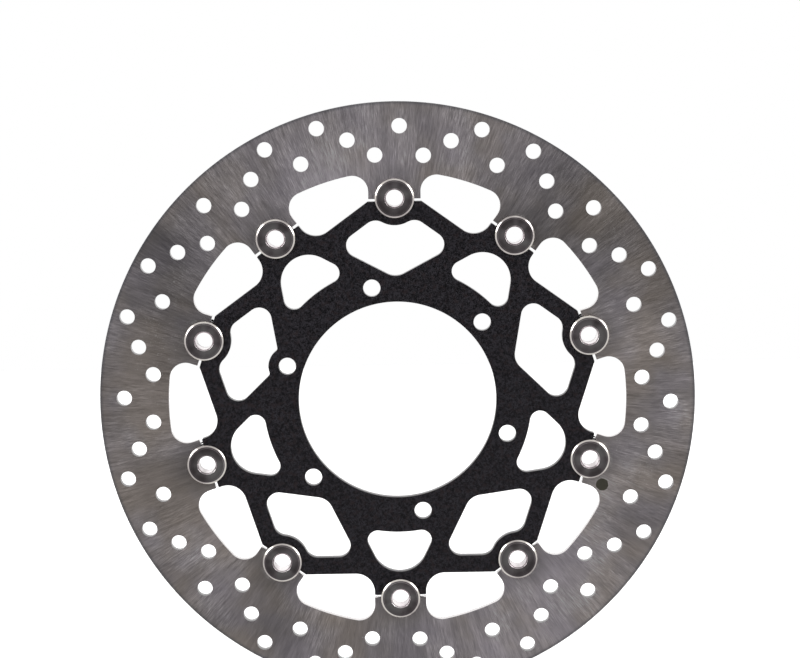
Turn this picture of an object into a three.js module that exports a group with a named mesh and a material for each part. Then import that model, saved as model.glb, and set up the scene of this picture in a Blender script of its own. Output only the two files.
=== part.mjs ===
// Floating front brake disc for a motorcycle, standing upright on its wheel axis.
// The frame is in millimetres: X to the right, Y along the wheel axis with the outer
// side of the wheel towards -Y, and Z up. The origin is the centre of the bore, half
// way through the carrier. A steel friction band is hung on a light carrier by ten
// hollow bobbins, each kept by a flat washer, a wave spring and a circlip at the back.
import * as THREE from "three";

// ---- driving sizes -------------------------------------------------------------
const OUTER_R = 155;
const TRACK_W = 35.8;
const BAND_T = 5.0;
const BOBBIN_PAIRS = 5;
const BOLT_COUNT = 6;
const BOLT_CIRCLE_R = 60;
const BOLT_HOLE_R = 4.5;
const BOLT_TO_BORE = 8.5;
const BOSS_R = 9.86;

// Drilled holes, as parts of the track's width counted in from the outer edge.
const DRILL_R = 4.0;
const DRILL_DEPTHS = [0.757, 0.631, 0.489, 0.351, 0.2235];
const DRILL_ORDER = [3, 0, 2, 4, 1, 4, 2, 0];
const DRILL_REPEATS = 8;
const DRILL_PHASE = 1.2;

// Bobbin and what it holds.
const SHANK_R = 8.0;
const BOBBIN_WALL = 3.55;
const FLANGE_LIP = 2.25;
const FLANGE_T = 1.6;
const FLANGE_CHAMFER = 1.1;
const FLANGE_CHAMFER_RISE = 0.8;
const BORE_CHAMFER = 0.55;
const GROOVE_DEPTH = 0.75;
const TAIL = 1.1;
const WASHER_T = 1.0;
const SPRING_T = 0.5;
const SPRING_WAVE = 0.8;
const SPRING_WAVES = 3;
const CIRCLIP_T = 1.0;
const CIRCLIP_W = 1.9;
const CIRCLIP_EAR = 1.6;
const CIRCLIP_EYE_R = 0.75;
const CIRCLIP_EYE_ANGLE = 16.5;
const CIRCLIP_EYE_LIFT = 0.25;

// Where the circlip's outline turns, each side of its gap, and how round its ears are.
const GAP_INNER_ANGLE = 12;
const GAP_OUTER_ANGLE = 9;
const EAR_END_ANGLE = 25;
const EAR_ROOT_ANGLE = 30;
const EAR_TIP_R = 0.7;
const EAR_END_R = 0.9;

// Walls, ends and bars around the seats.
const TAB_CHEEK = 5.2;
const TAB_WALL = 5.7;
const TAB_LAP = 0.3;
const TAB_ROOT_R = 8.3;
const END_GAP = 1.4;
const LUG_WALL = 5.7;
const LUG_HEIGHT = 11.57;
const ARM_W = 8.85;
const WEB_W = 7.96;
const VEE_DROP = 6.13;
const BIG_HALF_ANGLE = 21.2;
const DIP_ANGLE = 26.6;
const BOSS_ANGLE = 35;
const CORNER_R = 0.6;

// Roundings, as parts of the height or of the straight length that they stand on.
const LUG_ROOT_SHARE = 0.85;
const HUMP_SHARE = 0.85;
const FOOT_SHARE = 0.9;
const WIDE_SIDE_SHARE = 0.3;
const WIDE_VEE_SHARE = 0.43;
const SMALL_CORNER_SHARE = 0.25;

// ---- clearances ----------------------------------------------------------------
const FLOAT_TRAVEL = 0.4;
const FLOAT_CLEARANCE = 0.1;
const SEAT_CLEARANCE = 0.3;
const STACK_CLEARANCE = 0.05;
const WASHER_CLEARANCE = 0.3;
const GROOVE_CLEARANCE = 0.1;
const CIRCLIP_CLEARANCE = 0.3;

// ---- sizes that follow ---------------------------------------------------------
const CARRIER_T = BAND_T + 2 * (FLOAT_TRAVEL + FLOAT_CLEARANCE);
const TRACK_INNER_R = OUTER_R - TRACK_W;
const BORE_R = BOLT_CIRCLE_R - BOLT_TO_BORE;
const HUB_RING_R = BOLT_CIRCLE_R + BOSS_R;
const SEAT_R = SHANK_R + SEAT_CLEARANCE;
const FLANGE_R = SHANK_R + FLANGE_LIP;
const BOBBIN_BORE_R = SHANK_R - BOBBIN_WALL;
const BOBBIN_CIRCLE_R = TRACK_INNER_R - TAB_WALL - SEAT_R;
const TAB_HALF_W = SEAT_R + TAB_CHEEK;
const TAB_END_R = BOBBIN_CIRCLE_R - TAB_LAP;
const LUG_END_R = TAB_END_R - END_GAP;
const LUG_HALF_W = TAB_HALF_W;
const SHOULDER_R = LUG_END_R - LUG_HEIGHT;
const LUG_ROOT_R = LUG_ROOT_SHARE * LUG_HEIGHT;
const WINDOW_TOP_R = BOBBIN_CIRCLE_R - SEAT_R - LUG_WALL;
const WINDOW_H = WINDOW_TOP_R - HUB_RING_R;
const HALF_STEP = 180 / BOBBIN_PAIRS;
const BOBBIN_COUNT = 2 * BOBBIN_PAIRS;

// The stack along Y, from the front face of the flange to the end of the sleeve.
const CARRIER_FRONT = -CARRIER_T / 2;
const CARRIER_BACK = CARRIER_T / 2;
const FLANGE_BACK = CARRIER_FRONT - STACK_CLEARANCE;
const FLANGE_FRONT = FLANGE_BACK - FLANGE_T;
const WASHER_FRONT = CARRIER_BACK + STACK_CLEARANCE;
const WASHER_BACK = WASHER_FRONT + WASHER_T;
const SPRING_H = SPRING_T + SPRING_WAVE;
const SPRING_MID = WASHER_BACK + STACK_CLEARANCE + SPRING_H / 2;
const GROOVE_FRONT = SPRING_MID + SPRING_H / 2 + STACK_CLEARANCE;
const CIRCLIP_MID = GROOVE_FRONT + GROOVE_CLEARANCE + CIRCLIP_T / 2;
const GROOVE_BACK = CIRCLIP_MID + CIRCLIP_T / 2 + GROOVE_CLEARANCE;
const SLEEVE_END = GROOVE_BACK + TAIL;

// ---- finishes ------------------------------------------------------------------
const bandSteel = new THREE.MeshStandardMaterial({ color: 0x77716f, metalness: 0.9, roughness: 0.42 });
const carrierBlack = new THREE.MeshStandardMaterial({ color: 0x232225, metalness: 0.5, roughness: 0.6 });
const bobbinSteel = new THREE.MeshStandardMaterial({ color: 0x9b999c, metalness: 1.0, roughness: 0.15 });
const washerSteel = new THREE.MeshStandardMaterial({ color: 0x8f9192, metalness: 0.9, roughness: 0.35 });
const springSteel = new THREE.MeshStandardMaterial({ color: 0x6d6a64, metalness: 0.9, roughness: 0.3 });
const clipSteel = new THREE.MeshStandardMaterial({ color: 0x2e2d2e, metalness: 0.7, roughness: 0.45 });

// ---- outlines ------------------------------------------------------------------
const CHORD_ERROR = 0.08;
const CIRCLIP_CHORD_ERROR = 0.6 * CIRCLIP_CLEARANCE;
const TURNED_SIDES = 16;
const DRILL_SIDES = 12;
const SPRING_STEPS = 6;
const EYE_SIDES = 6;
const OUTER_SIDES = 108;
const BORE_SIDES = 64;
const BOLT_SIDES = 16;
const radians = THREE.MathUtils.degToRad;

/** Number of straight steps that keeps an arc within the chord error. */
function stepsFor(radius, turn, error = CHORD_ERROR) {
  const step = 2 * Math.acos(1 - Math.min(error / radius, 0.5));
  return Math.max(1, Math.ceil(Math.abs(turn) / step));
}

/** Points of an arc; angles in degrees run clockwise from the top, as a clock's do. */
function arc(cx, cy, radius, fromAngle, toAngle, error) {
  const turn = radians(toAngle - fromAngle);
  const count = stepsFor(radius, turn, error);
  const points = [];
  for (let i = 0; i <= count; i += 1) {
    const angle = radians(fromAngle) + (turn * i) / count;
    points.push({ x: cx + radius * Math.sin(angle), y: cy + radius * Math.cos(angle) });
  }
  return points;
}

/** A closed circle of points with a given number of sides. */
function circle(cx, cy, radius, sides) {
  return Array.from({ length: sides }, (_, i) => {
    const angle = (2 * Math.PI * i) / sides;
    return { x: cx + radius * Math.sin(angle), y: cy + radius * Math.cos(angle) };
  });
}

/** Turns points drawn about the vertical centre line to stand at a clock angle. */
function turned(points, angle) {
  const c = Math.cos(radians(angle));
  const s = Math.sin(radians(angle));
  return points.map((p) => ({ x: p.x * c + p.y * s, y: -p.x * s + p.y * c, r: p.r }));
}

/** The same points on the other side of the centre line, in the order that follows. */
function mirrored(points) {
  return points.map((p) => ({ x: -p.x, y: p.y, r: p.r })).reverse();
}

/** A closed loop whose corners with a radius r are turned into tangent arcs. */
function roundedLoop(corners) {
  const points = [];
  const count = corners.length;
  for (let i = 0; i < count; i += 1) {
    const before = corners[(i + count - 1) % count];
    const here = corners[i];
    const after = corners[(i + 1) % count];
    if (!here.r) {
      points.push(new THREE.Vector2(here.x, here.y));
      continue;
    }
    const into = new THREE.Vector2(here.x - before.x, here.y - before.y).normalize();
    const out = new THREE.Vector2(after.x - here.x, after.y - here.y).normalize();
    const turn = Math.atan2(into.cross(out), into.dot(out));
    const cut = here.r * Math.tan(Math.abs(turn) / 2);
    const start = new THREE.Vector2(here.x, here.y).addScaledVector(into, -cut);
    const side = Math.sign(turn) * here.r;
    const centre = new THREE.Vector2(start.x - into.y * side, start.y + into.x * side);
    const steps = stepsFor(here.r, turn);
    for (let k = 0; k <= steps; k += 1) {
      points.push(start.clone().rotateAround(centre, (turn * k) / steps));
    }
  }
  return points;
}

/** Where the lines p + t*u and q + t*v cross, directions given in degrees from X. */
function crossing(p, pAngle, q, qAngle) {
  const ux = Math.cos(radians(pAngle));
  const uy = Math.sin(radians(pAngle));
  const vx = Math.cos(radians(qAngle));
  const vy = Math.sin(radians(qAngle));
  const t = ((q.x - p.x) * vy - (q.y - p.y) * vx) / (ux * vy - uy * vx);
  return { x: p.x + ux * t, y: p.y + uy * t };
}

/** A flat plate lying across the wheel axis, half its thickness each side of middleY. */
function plate(outline, holes, thickness, middleY) {
  const edge = outline.map((p) => new THREE.Vector2(p.x, p.y));
  if (THREE.ShapeUtils.isClockWise(edge)) {
    edge.reverse();
  }
  const shape = new THREE.Shape(edge);
  for (const hole of holes) {
    shape.holes.push(new THREE.Path(hole.map((p) => new THREE.Vector2(p.x, p.y))));
  }
  const geometry = new THREE.ExtrudeGeometry(shape, { depth: thickness, steps: 1, bevelEnabled: false });
  geometry.translate(0, 0, -thickness / 2);
  geometry.rotateX(Math.PI / 2);
  geometry.translate(0, middleY, 0);
  return geometry;
}

/** A turned piece about the Y axis from a closed profile of radius and Y. */
function turnedPiece(profile) {
  const points = profile.map(([r, y]) => new THREE.Vector2(r, y));
  points.push(points[0].clone());
  return new THREE.LatheGeometry(points, TURNED_SIDES);
}

function named(name, geometry, material) {
  const mesh = new THREE.Mesh(geometry, material);
  mesh.name = name;
  return mesh;
}

// ---- friction band -------------------------------------------------------------

/** One tenth of the band's inner edge: half a window, a tab with its open seat, half a window. */
function bandTenth(angle) {
  const rootX = TAB_HALF_W + TAB_ROOT_R;
  const rootY = Math.sqrt((TRACK_INNER_R - TAB_ROOT_R) ** 2 - rootX ** 2);
  const rootAngle = THREE.MathUtils.radToDeg(Math.atan2(rootX, rootY));
  const half = [
    { x: 0, y: BOBBIN_CIRCLE_R + SEAT_R },
    ...arc(0, BOBBIN_CIRCLE_R, SEAT_R, 0, 90).slice(1),
    { x: SEAT_R, y: TAB_END_R },
    { x: TAB_HALF_W, y: TAB_END_R },
    ...arc(rootX, rootY, TAB_ROOT_R, 270, 360 + rootAngle),
    ...arc(0, 0, TRACK_INNER_R, rootAngle, HALF_STEP / 2).slice(1),
  ];
  return turned([...mirrored(half).slice(1), ...half.slice(1)], angle);
}

function frictionBand() {
  const inner = [];
  for (let i = 0; i < BOBBIN_COUNT; i += 1) {
    inner.push(...bandTenth(i * HALF_STEP));
  }
  const holes = [inner];
  const drilled = DRILL_ORDER.length * DRILL_REPEATS;
  for (let i = 0; i < drilled; i += 1) {
    const depth = DRILL_DEPTHS[DRILL_ORDER[i % DRILL_ORDER.length]];
    const centre = turned([{ x: 0, y: OUTER_R - depth * TRACK_W }], DRILL_PHASE + (i * 360) / drilled)[0];
    holes.push(circle(centre.x, centre.y, DRILL_R, DRILL_SIDES));
  }
  return named("brake_band", plate(circle(0, 0, OUTER_R, OUTER_SIDES), holes, BAND_T, 0), bandSteel);
}

// ---- carrier -------------------------------------------------------------------

/** A lug's end with the seat that takes the inner half of a bobbin's shank. */
function lugEnd(halfWidth) {
  const rise = BOBBIN_CIRCLE_R - LUG_END_R;
  const lip = 90 + THREE.MathUtils.radToDeg(Math.asin(rise / SEAT_R));
  return [
    { x: -halfWidth, y: LUG_END_R, r: CORNER_R },
    ...arc(0, BOBBIN_CIRCLE_R, SEAT_R, 360 - lip, lip),
    { x: halfWidth, y: LUG_END_R, r: CORNER_R },
  ];
}

/** The carrier's outer edge: wide lugs and narrow lugs in turn, joined by straight arms. */
function carrierEdge() {
  const shoulder = { x: 0, y: SHOULDER_R };
  const armStart = turned([shoulder], HALF_STEP)[0];
  const wideCorner = crossing({ x: 0, y: LUG_END_R }, 0, armStart, -HALF_STEP);
  const corners = [];
  for (let i = 0; i < BOBBIN_PAIRS; i += 1) {
    corners.push(...turned(lugEnd(wideCorner.x), 2 * i * HALF_STEP));
    const valley = { x: LUG_HALF_W, y: SHOULDER_R, r: LUG_ROOT_R };
    const narrow = [{ ...valley, x: -LUG_HALF_W }, ...lugEnd(LUG_HALF_W), valley];
    corners.push(...turned(narrow, (2 * i + 1) * HALF_STEP));
  }
  return roundedLoop(corners);
}

/** The corner of a wide window where its lower and upper edges meet. */
const bigSide = (() => {
  const reach = (SHOULDER_R - ARM_W) / Math.cos(radians(HALF_STEP - BIG_HALF_ANGLE));
  return turned([{ x: 0, y: reach }], BIG_HALF_ANGLE)[0];
})();
const vee = { x: 0, y: HUB_RING_R - VEE_DROP };
const WEB_ANGLE = THREE.MathUtils.radToDeg(Math.atan2(bigSide.y - vee.y, bigSide.x));

/** A wide window under a wide lug; bossed when a bolt hole stands on its centre line. */
function wideWindow(bossed) {
  const dipR = SEAT_R + LUG_WALL;
  const dip = { x: 0, y: BOBBIN_CIRCLE_R - dipR / Math.cos(radians(DIP_ANGLE)), r: dipR };
  const hump = crossing(dip, DIP_ANGLE, bigSide, -HALF_STEP);
  const free = hump.x / Math.cos(radians(DIP_ANGLE)) - dipR * Math.tan(radians(DIP_ANGLE));
  hump.r = (HUMP_SHARE * free) / Math.tan(radians((DIP_ANGLE + HALF_STEP) / 2));
  const side = { ...bigSide, r: WIDE_SIDE_SHARE * WINDOW_H };
  const right = [hump, side];
  const bottom = [{ ...vee, r: WIDE_VEE_SHARE * WINDOW_H }];
  if (bossed) {
    const crown = { x: 0, y: BOLT_CIRCLE_R + BOSS_R / Math.cos(radians(BOSS_ANGLE)), r: BOSS_R };
    const foot = crossing(crown, -BOSS_ANGLE, vee, WEB_ANGLE);
    const left = foot.x / Math.cos(radians(BOSS_ANGLE)) - BOSS_R * Math.tan(radians(BOSS_ANGLE));
    foot.r = (FOOT_SHARE * left) / Math.tan(radians((BOSS_ANGLE + WEB_ANGLE) / 2));
    bottom.splice(0, 1, foot, crown, { ...foot, x: -foot.x });
  }
  return roundedLoop([dip, ...right, ...bottom, ...mirrored(right)]);
}

/** A small window under a narrow lug, its sides parallel to the webs beside it. */
function smallWindow() {
  const sideAngle = 90 - HALF_STEP - WEB_ANGLE;
  const webLine = vee.y * Math.cos(radians(WEB_ANGLE)) - WEB_W;
  const sine = Math.sin(radians(sideAngle));
  const peak = webLine / sine;
  const topR = (peak - WINDOW_TOP_R) / (1 / sine - 1);
  const cornerR = SMALL_CORNER_SHARE * WINDOW_H;
  const out = peak * sine - cornerR;
  const along = Math.sqrt((HUB_RING_R + cornerR) ** 2 - out ** 2);
  const cornerX = out * Math.cos(radians(sideAngle)) - along * sine;
  const cornerY = out * sine + along * Math.cos(radians(sideAngle));
  const ringAngle = THREE.MathUtils.radToDeg(Math.atan2(cornerX, cornerY));
  const half = [
    ...arc(0, peak - topR / sine, topR, 0, 90 - sideAngle).slice(1),
    ...arc(cornerX, cornerY, cornerR, 90 - sideAngle, 180 + ringAngle),
    ...arc(0, 0, HUB_RING_R, ringAngle, 0).slice(1),
  ];
  return [{ x: 0, y: WINDOW_TOP_R }, ...half, ...mirrored(half).slice(1)];
}

function carrier() {
  const holes = [circle(0, 0, BORE_R, BORE_SIDES)];
  const boltPhase = -2 * HALF_STEP;
  for (let i = 0; i < BOLT_COUNT; i += 1) {
    const spot = turned([{ x: 0, y: BOLT_CIRCLE_R }], boltPhase + (i * 360) / BOLT_COUNT)[0];
    holes.push(circle(spot.x, spot.y, BOLT_HOLE_R, BOLT_SIDES));
  }
  for (let i = 0; i < BOBBIN_PAIRS; i += 1) {
    const angle = boltPhase + 2 * i * HALF_STEP;
    holes.push(turned(wideWindow(i === 0), angle));
    holes.push(turned(smallWindow(), angle + HALF_STEP));
  }
  return named("carrier", plate(carrierEdge(), holes, CARRIER_T, 0), carrierBlack);
}

// ---- bobbins and what keeps them ----------------------------------------------

function bobbinSleeve() {
  const grooveR = SHANK_R - GROOVE_DEPTH;
  return turnedPiece([
    [BOBBIN_BORE_R, SLEEVE_END],
    [BOBBIN_BORE_R, FLANGE_FRONT + BORE_CHAMFER],
    [BOBBIN_BORE_R + BORE_CHAMFER, FLANGE_FRONT],
    [FLANGE_R - FLANGE_CHAMFER, FLANGE_FRONT],
    [FLANGE_R, FLANGE_FRONT + FLANGE_CHAMFER_RISE],
    [FLANGE_R, FLANGE_BACK],
    [SHANK_R, FLANGE_BACK],
    [SHANK_R, GROOVE_FRONT],
    [grooveR, GROOVE_FRONT],
    [grooveR, GROOVE_BACK],
    [SHANK_R, GROOVE_BACK],
    [SHANK_R, SLEEVE_END],
  ]);
}

function flatWasher() {
  const innerR = SHANK_R + WASHER_CLEARANCE;
  return turnedPiece([
    [innerR, WASHER_FRONT],
    [FLANGE_R, WASHER_FRONT],
    [FLANGE_R, WASHER_BACK],
    [innerR, WASHER_BACK],
  ]);
}

/** A ring of flat strip whose height rises and falls SPRING_WAVES times round. */
function waveSpring() {
  const innerR = SHANK_R + WASHER_CLEARANCE;
  const outerR = FLANGE_R - WASHER_CLEARANCE;
  const steps = SPRING_STEPS * SPRING_WAVES;
  const section = [
    [innerR, -SPRING_T / 2],
    [outerR, -SPRING_T / 2],
    [outerR, SPRING_T / 2],
    [innerR, SPRING_T / 2],
  ];
  const positions = [];
  for (let i = 0; i < steps; i += 1) {
    const angle = (2 * Math.PI * i) / steps;
    const lift = SPRING_MID + (SPRING_WAVE / 2) * Math.cos(SPRING_WAVES * angle);
    for (const [r, y] of section) {
      positions.push(r * Math.sin(angle), lift + y, r * Math.cos(angle));
    }
  }
  const index = [];
  for (let i = 0; i < steps; i += 1) {
    const next = (i + 1) % steps;
    for (let k = 0; k < 4; k += 1) {
      const a = 4 * i + k;
      const b = 4 * i + ((k + 1) % 4);
      const c = 4 * next + ((k + 1) % 4);
      const d = 4 * next + k;
      index.push(a, c, b, a, d, c);
    }
  }
  const geometry = new THREE.BufferGeometry();
  geometry.setAttribute("position", new THREE.Float32BufferAttribute(positions, 3));
  geometry.setIndex(index);
  geometry.computeVertexNormals();
  return geometry;
}

/** A point of the circlip's outline at a clock angle, with the radius of its corner. */
function clipPoint(radius, angle, r) {
  return { ...turned([{ x: 0, y: radius }], angle)[0], r };
}

/** An open ring in the groove, its gap upwards, with a holed ear at each end. */
function circlip() {
  const innerR = SHANK_R - GROOVE_DEPTH + CIRCLIP_CLEARANCE;
  const outerR = innerR + CIRCLIP_W;
  const earR = outerR + CIRCLIP_EAR;
  const ear = [
    clipPoint(innerR, GAP_INNER_ANGLE),
    clipPoint(earR, GAP_OUTER_ANGLE, EAR_TIP_R),
    clipPoint(earR, EAR_END_ANGLE, EAR_END_R),
    clipPoint(outerR, EAR_ROOT_ANGLE),
  ];
  const outerArc = arc(0, 0, outerR, EAR_ROOT_ANGLE, 360 - EAR_ROOT_ANGLE, CIRCLIP_CHORD_ERROR);
  const innerArc = arc(0, 0, innerR, 360 - GAP_INNER_ANGLE, GAP_INNER_ANGLE, CIRCLIP_CHORD_ERROR);
  const outline = [...ear, ...outerArc.slice(1, -1), ...mirrored(ear), ...innerArc.slice(1, -1)];
  const eyeR = (innerR + earR) / 2 + CIRCLIP_EYE_LIFT;
  const holes = [CIRCLIP_EYE_ANGLE, -CIRCLIP_EYE_ANGLE].map((angle) => {
    const eye = clipPoint(eyeR, angle);
    return circle(eye.x, eye.y, CIRCLIP_EYE_R, EYE_SIDES);
  });
  return plate(roundedLoop(outline), holes, CIRCLIP_T, CIRCLIP_MID);
}

function bobbinSet(number) {
  const angle = (number - 1) * HALF_STEP;
  const place = turned([{ x: 0, y: BOBBIN_CIRCLE_R }], angle)[0];
  const label = String(number).padStart(2, "0");
  const pieces = [
    named(`bobbin_${label}`, bobbinSleeve(), bobbinSteel),
    named(`flat_washer_${label}`, flatWasher(), washerSteel),
    named(`wave_spring_${label}`, waveSpring(), springSteel),
    named(`circlip_${label}`, circlip(), clipSteel),
  ];
  for (const piece of pieces) {
    piece.geometry.translate(place.x, 0, place.y);
  }
  return pieces;
}

// ---- the disc ------------------------------------------------------------------
const disc = new THREE.Group();
disc.name = "motorcycle_brake_disc";
disc.add(frictionBand());
disc.add(carrier());
for (let number = 1; number <= BOBBIN_COUNT; number += 1) {
  disc.add(...bobbinSet(number));
}

export default disc;
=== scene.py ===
"""Looks of a floating front brake disc: a ground steel band on ten bobbins round a black carrier.

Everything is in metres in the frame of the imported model: X to the right, Y along the
wheel axis with the outer side of the wheel towards -Y, Z up, the origin in the bore.
Outlines are drawn in millimetres on the X-Z plane and scaled as they become meshes.
"""
import math

import bpy
import numpy as np
from mathutils import Matrix, Vector
from mathutils.geometry import tessellate_polygon


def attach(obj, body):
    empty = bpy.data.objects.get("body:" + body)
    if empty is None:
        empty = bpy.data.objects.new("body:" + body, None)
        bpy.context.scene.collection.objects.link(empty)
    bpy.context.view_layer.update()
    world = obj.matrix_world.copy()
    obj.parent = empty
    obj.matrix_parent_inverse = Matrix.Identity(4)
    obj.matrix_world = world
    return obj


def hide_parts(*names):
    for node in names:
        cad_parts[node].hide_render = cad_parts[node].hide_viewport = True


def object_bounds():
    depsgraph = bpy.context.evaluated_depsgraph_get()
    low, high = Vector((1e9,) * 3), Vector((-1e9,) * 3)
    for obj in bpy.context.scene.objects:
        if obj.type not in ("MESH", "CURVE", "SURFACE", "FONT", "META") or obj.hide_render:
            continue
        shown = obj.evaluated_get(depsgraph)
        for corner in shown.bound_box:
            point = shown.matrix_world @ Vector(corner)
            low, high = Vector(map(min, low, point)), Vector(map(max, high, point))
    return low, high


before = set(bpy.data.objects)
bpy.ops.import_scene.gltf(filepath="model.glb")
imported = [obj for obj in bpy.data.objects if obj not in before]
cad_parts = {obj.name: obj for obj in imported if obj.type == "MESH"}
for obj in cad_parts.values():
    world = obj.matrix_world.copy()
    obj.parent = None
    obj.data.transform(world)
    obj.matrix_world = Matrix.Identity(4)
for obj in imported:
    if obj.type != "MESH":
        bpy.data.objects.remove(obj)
cad_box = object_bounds()

MM = 0.001

# ---- sizes in millimetres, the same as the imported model's --------------------------
OUTER_R = 155.0
TRACK_W = 35.8
BAND_T = 5.0
CARRIER_T = 6.0
BOBBIN_PAIRS = 5
BOLT_COUNT = 6
BOLT_CIRCLE_R = 60.0
BOLT_HOLE_R = 4.5
BORE_R = 51.5
BOSS_R = 9.86
HUB_RING_R = BOLT_CIRCLE_R + BOSS_R

# The drilled holes stand on five circles, given as shares of the track's width in from its
# edge. Eight holes, each with the number of its circle, make the pattern that repeats.
DRILL_R = 4.0
DRILL_DEPTHS = np.array([0.757, 0.631, 0.489, 0.351, 0.2235])
DRILL_ORDER = [3, 0, 2, 4, 1, 4, 2, 0]
DRILL_REPEATS = 8
DRILL_PHASE = 1.2

SHANK_R = 8.0
SEAT_R = 8.3
FLANGE_R = 10.25
BOBBIN_BORE_R = 4.45
GROOVE_R = 7.25
TRACK_INNER_R = OUTER_R - TRACK_W
TAB_WALL = 5.7
BOBBIN_CIRCLE_R = TRACK_INNER_R - TAB_WALL - SEAT_R
TAB_HALF_W = 13.5
TAB_LAP = 0.3
TAB_END_R = BOBBIN_CIRCLE_R - TAB_LAP
TAB_ROOT_R = 8.3
END_GAP = 1.4
LUG_END_R = TAB_END_R - END_GAP
LUG_HALF_W = TAB_HALF_W
LUG_HEIGHT = 11.57
LUG_WALL = 5.7
SHOULDER_R = LUG_END_R - LUG_HEIGHT
LUG_ROOT_SHARE = 0.85
LUG_ROOT_R = LUG_ROOT_SHARE * LUG_HEIGHT
WINDOW_TOP_R = BOBBIN_CIRCLE_R - SEAT_R - LUG_WALL
WINDOW_H = WINDOW_TOP_R - HUB_RING_R
ARM_W = 8.85
WEB_W = 7.96
VEE_DROP = 6.13
BIG_HALF_ANGLE = 21.2
DIP_ANGLE = 26.6
BOSS_ANGLE = 35.0
CORNER_R = 0.6
WIDE_SIDE_R = 0.3 * WINDOW_H
WIDE_FOOT_R = 0.43 * WINDOW_H
SMALL_CORNER_R = 0.25 * WINDOW_H
HUMP_SHARE = 0.85
BOSS_FOOT_SHARE = 0.9
HALF_STEP = 180.0 / BOBBIN_PAIRS
BOBBIN_COUNT = 2 * BOBBIN_PAIRS

# The stack along Y, from the front of the flange to the end of the sleeve.
FLANGE_FRONT = -4.65
FLANGE_BACK = -3.05
WASHER_FRONT, WASHER_BACK = 3.05, 4.05
SPRING_MID, SPRING_T, SPRING_WAVE, SPRING_WAVES = 4.75, 0.5, 0.8, 3
GROOVE_FRONT, GROOVE_BACK = 5.45, 6.65
CIRCLIP_MID, CIRCLIP_T = 6.05, 1.0
SLEEVE_END = 7.75
LOOSE_FIT = 0.3
SPRING_OUTER_R = FLANGE_R - 0.3

# The sleeve's front face from the bore outwards: a mouth, a shallow dish and a rolled rim.
# Depths are behind the front of the flange, and the rim's places are in from its edge.
MOUTH_DEPTH, MOUTH_W = 0.95, 0.62
DISH_INNER_DEPTH, DISH_OUTER_DEPTH = 0.2, 0.1
DISH_END, CREST_START, CREST_END = 1.62, 1.38, 0.95
RIM_DROP = 0.72

# The circlip: radii, and clock angles from the middle of its gap.
CLIP_INNER_R = GROOVE_R + LOOSE_FIT
CLIP_OUTER_R = GROOVE_R + 2.2
CLIP_EAR_R = GROOVE_R + 3.8
CLIP_GAP_ANGLE, EAR_NEAR_ANGLE, EAR_FAR_ANGLE, EAR_FOOT_ANGLE = 12, 9, 25, 30
EAR_NEAR_CORNER_R, EAR_FAR_CORNER_R = 0.7, 0.9
EYE_ANGLE, EYE_R, EYE_SHIFT = 16.5, 0.75, 0.25

# How far each piece's edges are rounded.
OUTER_RIM_R, INNER_RIM_R, DRILL_RIM_R = 0.18, 0.2, 0.05
CARRIER_RIM_R = 0.42
SLEEVE_EDGE_R, WASHER_EDGE_R, SPRING_EDGE_R, CLIP_EDGE_R = 0.16, 0.18, 0.1, 0.14

# How finely curves are divided, what counts as a sharp edge or the same point, and the
# most of an edge that the rounding of one of its ends may take.
CHORD_ERROR = 0.006
SLEEVE_SIDES, WASHER_SIDES, SPRING_SIDES = 96, 72, 120
SHARP_ANGLE = 40
SAME_POINT = 1e-5
MOST_CUT = 0.45


# ---- outlines ----------------------------------------------------------------------


def rad(degrees):
    return math.radians(degrees)


def arc(cx, cz, radius, from_angle, to_angle):
    """Points (cx + r sin a, cz + r cos a) for a from one clock angle to another."""
    turn = abs(rad(to_angle - from_angle))
    step = 2 * math.acos(1 - min(CHORD_ERROR / radius, 0.5))
    a = np.linspace(rad(from_angle), rad(to_angle), max(2, math.ceil(turn / step) + 1))
    return np.column_stack([cx + radius * np.sin(a), cz + radius * np.cos(a)])


def circle(cx, cz, radius):
    """A full turn of arc, without its last point, which repeats the first."""
    return arc(cx, cz, radius, 0, 360)[:-1]


def turned(points, angle):
    """The points turned clockwise by angle about the origin: (x c + z s, z c - x s)."""
    c, s = math.cos(rad(angle)), math.sin(rad(angle))
    p = np.asarray(points, float)
    out = p.copy()
    out[:, 0] = p[:, 0] * c + p[:, 1] * s
    out[:, 1] = p[:, 1] * c - p[:, 0] * s
    return out


def mirrored(points):
    """The points on the other side of the upright centre line, in the order that follows."""
    p = np.asarray(points, float)[::-1].copy()
    p[:, 0] = -p[:, 0]
    return p


def sharp(points):
    """Points as corners with no rounding: rows of x, z, 0."""
    return np.column_stack([points, np.zeros(len(points))])


def rounded_loop(corners):
    """A closed loop from rows (x, z, r): each corner with r is cut back by r tan(turn / 2)
    and swept as an arc of radius r tangent to both edges."""
    loop = []
    count = len(corners)
    for i in range(count):
        here = corners[i]
        if here[2] == 0:
            loop.append(here[None, :2])
            continue
        into = here[:2] - corners[i - 1][:2]
        out = corners[(i + 1) % count][:2] - here[:2]
        into, out = into / np.linalg.norm(into), out / np.linalg.norm(out)
        turn = math.atan2(into[0] * out[1] - into[1] * out[0], into @ out)
        start = here[:2] - into * here[2] * math.tan(abs(turn) / 2)
        side = math.copysign(here[2], turn)
        centre = start + side * np.array([-into[1], into[0]])
        step = 2 * math.acos(1 - min(CHORD_ERROR / here[2], 0.5))
        t = np.linspace(0, turn, max(2, math.ceil(abs(turn) / step) + 1))
        arm = start - centre
        sweep_x = arm[0] * np.cos(t) - arm[1] * np.sin(t)
        sweep_z = arm[0] * np.sin(t) + arm[1] * np.cos(t)
        loop.append(centre + np.column_stack([sweep_x, sweep_z]))
    return np.vstack(loop)


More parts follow.
